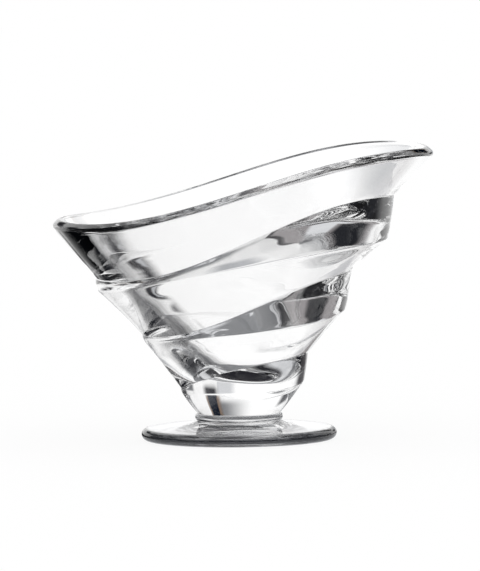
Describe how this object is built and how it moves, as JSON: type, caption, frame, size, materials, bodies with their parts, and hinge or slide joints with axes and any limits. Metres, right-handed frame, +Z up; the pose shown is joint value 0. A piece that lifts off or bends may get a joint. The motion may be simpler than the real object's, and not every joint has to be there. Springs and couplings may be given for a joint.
{
  "type": "dessert glass",
  "caption": "Footed dessert glass of clear pressed glass: a terraced conical bowl with a wavy leaning rim, joined by a neck wafer to a round foot. Holds ice cream, fruit or a pudding.",
  "frame": {"origin": "centre of the foot's flat underside, where the glass stands on a table", "axes": "+Z up along the foot's axis, +X towards the high side of the rim, +Y towards the back of the pictured view"},
  "size_m": [0.1241, 0.124, 0.0952],
  "materials": {
    "clear_glass": "clear, colourless, fire-polished pressed glass"
  },
  "bodies": {
    "root": {"foot": "clear_glass", "neck_wafer": "clear_glass", "bowl": "clear_glass"}
  },
  "joints": []
}
